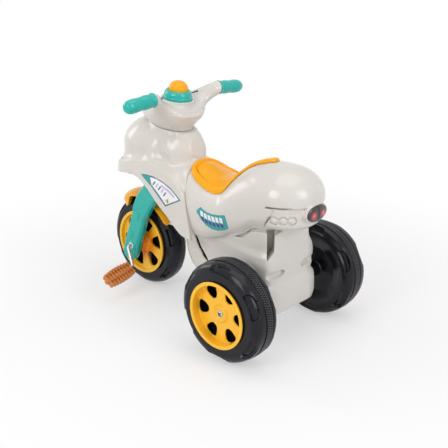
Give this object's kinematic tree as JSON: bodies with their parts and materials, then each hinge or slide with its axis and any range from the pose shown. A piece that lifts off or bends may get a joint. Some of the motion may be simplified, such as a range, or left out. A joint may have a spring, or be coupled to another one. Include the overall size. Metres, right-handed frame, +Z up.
{
  "type": "ride-on toy motorcycle with pedals",
  "caption": "Child's pedal motorcycle with a moulded body, curved seat, pivoting handlebar and fork, pedals on the front wheel and a press-down horn button.",
  "frame": {"origin": "on the floor, under the middle of the whole object's bounding box", "axes": "+X to the rider's left, +Y to the rear, +Z up; the front faces -Y and the mid-plane is X = 0"},
  "size_m": [0.4494, 0.723, 0.5992],
  "materials": {
    "ivory_plastic": "glossy blow-moulded ivory plastic",
    "orange_plastic": "satin orange-yellow plastic",
    "teal_plastic": "glossy teal plastic",
    "yellow_plastic": "satin yellow plastic",
    "black_plastic": "semi-gloss blue-black plastic",
    "brown_plastic": "matt orange-brown plastic",
    "zinc_steel": "zinc-plated steel",
    "white_nylon": "plain nylon",
    "lamp_black": "glossy black sticker-like lamp with red glow marks"
  },
  "bodies": {
    "frame": {"main_body": "ivory_plastic", "front_fairing": "ivory_plastic", "seat": "orange_plastic", "tail_light_left": "lamp_black", "tail_light_right": "lamp_black", "rear_axle": "zinc_steel", "axle_bush_left": "white_nylon", "axle_bush_right": "white_nylon", "axle_cap_left": "zinc_steel", "axle_cap_right": "zinc_steel", "steering_bush_upper": "white_nylon", "steering_bush_lower": "white_nylon"},
    "steering": {"steering_stem": "zinc_steel", "stem_nut": "zinc_steel", "handlebar": "ivory_plastic", "grip_left": "teal_plastic", "grip_right": "teal_plastic", "horn_base": "teal_plastic", "horn_spring": "zinc_steel", "fork": "teal_plastic", "front_fender": "orange_plastic", "fender_screw_front": "zinc_steel", "fender_screw_rear": "zinc_steel", "crank_bush_left": "white_nylon", "crank_bush_right": "white_nylon"},
    "horn": {"horn_button": "orange_plastic"},
    "front_wheel": {"front_tyre": "black_plastic", "front_rim_left": "yellow_plastic", "front_rim_right": "yellow_plastic", "crank_axle": "zinc_steel", "pedal_cap_left": "zinc_steel", "pedal_cap_right": "zinc_steel"},
    "left_pedal": {"pedal_left": "brown_plastic"},
    "right_pedal": {"pedal_right": "brown_plastic"},
    "left_wheel": {"rear_tyre_left": "black_plastic", "rear_rim_left": "yellow_plastic"},
    "right_wheel": {"rear_tyre_right": "black_plastic", "rear_rim_right": "yellow_plastic"}
  },
  "joints": [
    {"name": "steering", "type": "hinge", "parent": "frame", "child": "steering", "pos_m": [0, -0.1435, 0.31], "axis": [0, 0.1444, 0.9895], "range_deg": [-25, 25]},
    {"name": "front_wheel_spin", "type": "hinge", "parent": "steering", "child": "front_wheel", "pos_m": [0, -0.2328, 0.1287], "axis": [1, 0, 0], "continuous": true},
    {"name": "pedal_left_spin", "type": "hinge", "parent": "front_wheel", "child": "left_pedal", "pos_m": [0.14648, -0.20111, 0.07152], "axis": [0.9903, 0.0675, -0.1217], "continuous": true},
    {"name": "pedal_right_spin", "type": "hinge", "parent": "front_wheel", "child": "right_pedal", "pos_m": [-0.14648, -0.26449, 0.18588], "axis": [-0.9903, -0.0675, 0.1217], "continuous": true},
    {"name": "rear_wheel_left_spin", "type": "hinge", "parent": "frame", "child": "left_wheel", "pos_m": [0, 0.2365, 0.125], "axis": [1, 0, 0], "continuous": true},
    {"name": "rear_wheel_right_spin", "type": "hinge", "parent": "frame", "child": "right_wheel", "pos_m": [0, 0.2365, 0.125], "axis": [1, 0, 0], "continuous": true},
    {"name": "horn_press", "type": "slide", "parent": "steering", "child": "horn", "axis": [0, -0.1444, -0.9895], "range_m": [0, 0.004], "stiffness_N_per_m": 400, "springref_m": -0.004, "deforming": ["horn_spring"]}
  ]
}
